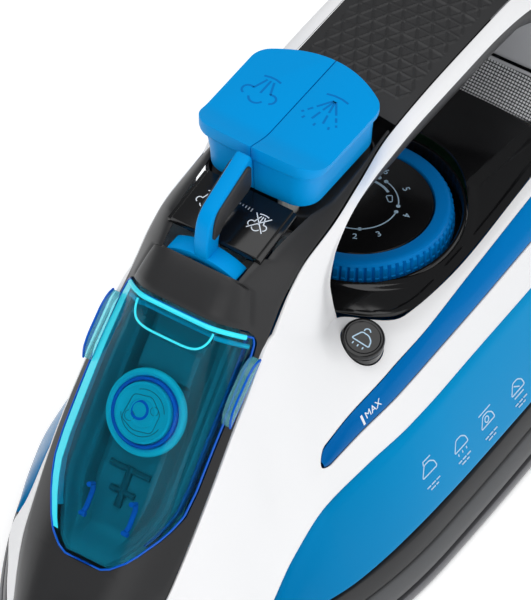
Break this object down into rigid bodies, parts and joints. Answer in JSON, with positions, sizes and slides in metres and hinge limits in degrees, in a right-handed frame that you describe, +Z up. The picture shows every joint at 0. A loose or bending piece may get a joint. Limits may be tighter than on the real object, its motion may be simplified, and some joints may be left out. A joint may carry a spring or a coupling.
{
  "type": "steam clothes iron",
  "caption": "Corded steam iron with a closed-loop handle, hinged water inlet cover, steam and spray buttons, steam lever and thermostat dial.",
  "frame": {"origin": "underside of the soleplate, on the centre plane, a little ahead of the middle of its length", "axes": "nose towards -Y, heel towards +Y, the iron's left side towards +X, up along +Z"},
  "size_m": [0.119, 0.2829, 0.1442],
  "materials": {
    "ceramic_sole": "smooth dark ceramic coating",
    "cast_aluminium": "as cast",
    "steel": "drawn",
    "grey_band": "fine satin",
    "dark_plastic": "satin moulded",
    "white_shell": "gloss",
    "blue_panel": "gloss, slightly translucent",
    "blue_window": "gloss, translucent",
    "teal_clear": "clear tinted plastic",
    "black_gloss": "piano black",
    "cyan_plastic": "gloss",
    "bright_blue": "satin",
    "grip_rubber": "matt, embossed",
    "silver_plastic": "satin silver",
    "clear_lens": "clear, ribbed",
    "brass": "turned",
    "white_inner": "moulded",
    "green_board": "laminate",
    "amber_lamp": "clear tinted"
  },
  "bodies": {
    "iron": {"soleplate": "ceramic_sole", "heater_casting": "cast_aluminium", "heating_element": "steel", "skirt_lower": "grey_band", "skirt_upper": "dark_plastic", "side_shell_left": "white_shell", "side_shell_right": "white_shell", "side_panel_left": "blue_panel", "side_panel_right": "blue_panel", "level_window_left": "blue_window", "level_window_right": "blue_window", "front_trim": "dark_plastic", "filler_tray": "black_gloss", "filler_neck": "cyan_plastic", "filler_valve": "bright_blue", "grip_pad": "grip_rubber", "handle_liner": "dark_plastic", "rear_panel": "silver_plastic", "indicator_lens": "clear_lens", "back_cover": "dark_plastic", "saddle": "black_gloss", "dial_seat": "black_gloss", "steam_pump": "white_inner", "spray_pump": "white_inner", "button_tray": "dark_plastic", "control_panel": "black_gloss", "lever_pin": "steel", "thermostat": "steel", "water_tank": "blue_window", "power_board": "green_board", "terminal_block": "white_inner", "indicator_lamp": "amber_lamp", "steam_valve": "brass", "spray_nozzle": "silver_plastic", "heel_foot_left": "grip_rubber", "heel_foot_right": "grip_rubber"},
    "cover": {"filler_cover": "teal_clear"},
    "steam_key": {"steam_button": "bright_blue", "steam_plunger": "white_inner"},
    "spray_key": {"spray_button": "bright_blue", "spray_plunger": "white_inner"},
    "lever": {"steam_lever": "bright_blue", "lever_pad_left": "grip_rubber", "lever_pad_right": "grip_rubber"},
    "dial": {"dial_ring": "bright_blue", "dial_face": "black_gloss", "dial_shaft": "brass"},
    "clean_key": {"self_clean_button": "black_gloss", "self_clean_rod": "steel"},
    "cord_swivel": {"cord_ball": "grip_rubber"}
  },
  "joints": [
    {"name": "cover_hinge", "type": "hinge", "parent": "iron", "child": "cover", "pos_m": [0, -0.1049, 0.0534], "axis": [1, 0, 0], "range_deg": [0, 65]},
    {"name": "steam_press", "type": "slide", "parent": "iron", "child": "steam_key", "axis": [0, 0, -1], "range_m": [0, 0.0035], "stiffness_N_per_m": 900, "springref_m": -0.001},
    {"name": "spray_press", "type": "slide", "parent": "iron", "child": "spray_key", "axis": [0, 0, -1], "range_m": [0, 0.0035], "stiffness_N_per_m": 900, "springref_m": -0.001},
    {"name": "lever_swing", "type": "hinge", "parent": "iron", "child": "lever", "pos_m": [0, -0.044, 0.1], "axis": [0, 1, 0], "range_deg": [-9, 9]},
    {"name": "dial_turn", "type": "hinge", "parent": "iron", "child": "dial", "pos_m": [0, 0.032, 0.076], "axis": [0, 0.0645, 0.9979], "range_deg": [-135, 135]},
    {"name": "clean_press", "type": "slide", "parent": "iron", "child": "clean_key", "axis": [-0.2599, 0.1999, -0.9447], "range_m": [0, 0.0025], "stiffness_N_per_m": 500, "springref_m": -0.001},
    {"name": "cord_tilt", "type": "hinge", "parent": "iron", "child": "cord_swivel", "pos_m": [0, 0.1316, 0.104], "axis": [1, 0, 0], "range_deg": [-12, 12]}
  ]
}
